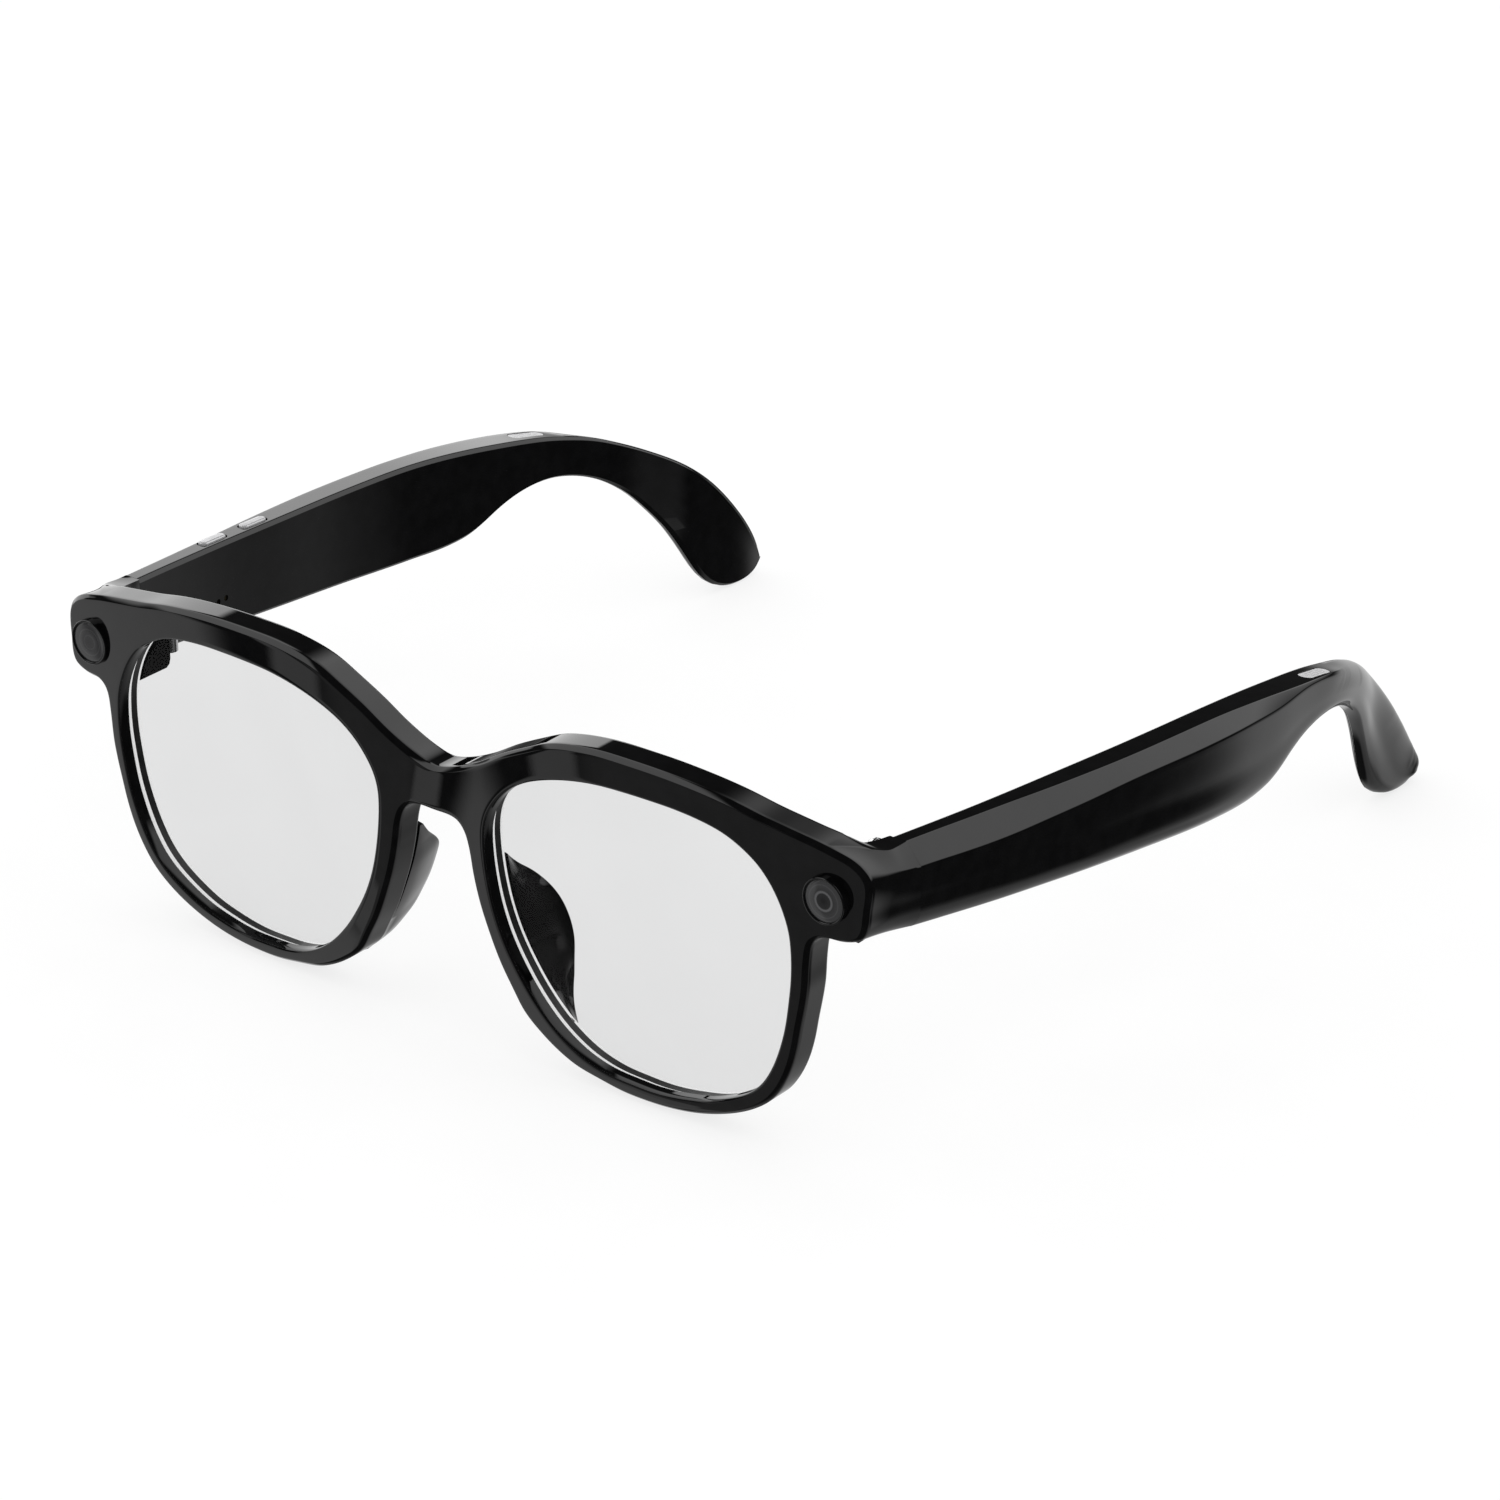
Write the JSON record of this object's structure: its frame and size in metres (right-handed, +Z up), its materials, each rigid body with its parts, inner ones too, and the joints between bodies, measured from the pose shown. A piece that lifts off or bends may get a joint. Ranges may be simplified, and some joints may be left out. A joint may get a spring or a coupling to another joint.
{
  "type": "smart glasses",
  "caption": "Smart glasses with round corner windows in the front, thick folding temples that hold electronics, two pill buttons and sound vents on top.",
  "frame": {"origin": "middle of the footprint on the surface the open glasses rest on", "axes": "+X to the wearer's left, +Y from the front towards the temple tips, +Z up"},
  "size_m": [0.1522, 0.1512, 0.0508],
  "materials": {
    "gloss_black": "polished black acetate-like plastic",
    "clear_lens": "clear coated lens",
    "bezel_black": "polished black ring",
    "window_glass": "grey tinted window",
    "barrel_black": "matt black",
    "light_guide": "frosted diffuser",
    "circuit_green": "solder mask",
    "hinge_steel": "polished steel",
    "screw_steel": "bright steel",
    "core_steel": "drawn wire",
    "battery_foil": "foil pouch",
    "speaker_black": "moulded box",
    "grille_dark": "dark perforated plate",
    "flex_amber": "polyimide film",
    "contact_gold": "gold plated",
    "switch_black": "small switch",
    "button_black": "polished black button"
  },
  "bodies": {
    "front": {"front_frame": "gloss_black", "brow_cover": "gloss_black", "front_flex_cable": "flex_amber", "left_lens": "clear_lens", "right_lens": "clear_lens", "camera_bezel": "bezel_black", "camera_window": "window_glass", "camera_lens_barrel": "barrel_black", "camera_sensor_board": "circuit_green", "indicator_bezel": "bezel_black", "indicator_window": "window_glass", "indicator_light_guide": "light_guide", "indicator_led_board": "circuit_green", "left_microphone": "hinge_steel", "right_microphone": "hinge_steel", "left_front_hinge_leaf": "hinge_steel", "right_front_hinge_leaf": "hinge_steel", "front_leaf_screws": "screw_steel", "left_hinge_screw": "hinge_steel", "right_hinge_screw": "hinge_steel"},
    "left_temple": {"left_temple_shell": "gloss_black", "left_temple_inner_cover": "gloss_black", "left_temple_hinge_leaf": "hinge_steel", "left_temple_leaf_screws": "screw_steel", "left_circuit_board": "circuit_green", "left_battery": "battery_foil", "left_speaker": "speaker_black", "left_speaker_grille": "grille_dark", "left_temple_core_wire": "core_steel", "left_speaker_flex_cable": "flex_amber"},
    "right_temple": {"right_temple_shell": "gloss_black", "right_temple_inner_cover": "gloss_black", "right_temple_hinge_leaf": "hinge_steel", "right_temple_leaf_screws": "screw_steel", "right_circuit_board": "circuit_green", "right_battery": "battery_foil", "right_speaker": "speaker_black", "right_speaker_grille": "grille_dark", "right_temple_core_wire": "core_steel", "right_speaker_flex_cable": "flex_amber", "charging_contacts": "contact_gold", "button_switches": "switch_black"},
    "power_button": {"power_button": "button_black"},
    "capture_button": {"capture_button": "button_black"}
  },
  "joints": [
    {"name": "left_temple_fold", "type": "hinge", "parent": "front", "child": "left_temple", "pos_m": [0.062, -0.0598, 0.0378], "axis": [0, 0, 1], "range_deg": [0, 90]},
    {"name": "right_temple_fold", "type": "hinge", "parent": "front", "child": "right_temple", "pos_m": [-0.062, -0.0598, 0.0378], "axis": [0, 0, -1], "range_deg": [0, 76]},
    {"name": "power_press", "type": "slide", "parent": "right_temple", "child": "power_button", "axis": [0, -0.0663, -0.9978], "range_m": [0, 0.0004], "stiffness_N_per_m": 600},
    {"name": "capture_press", "type": "slide", "parent": "right_temple", "child": "capture_button", "axis": [0, -0.0663, -0.9978], "range_m": [0, 0.0004], "stiffness_N_per_m": 600}
  ]
}
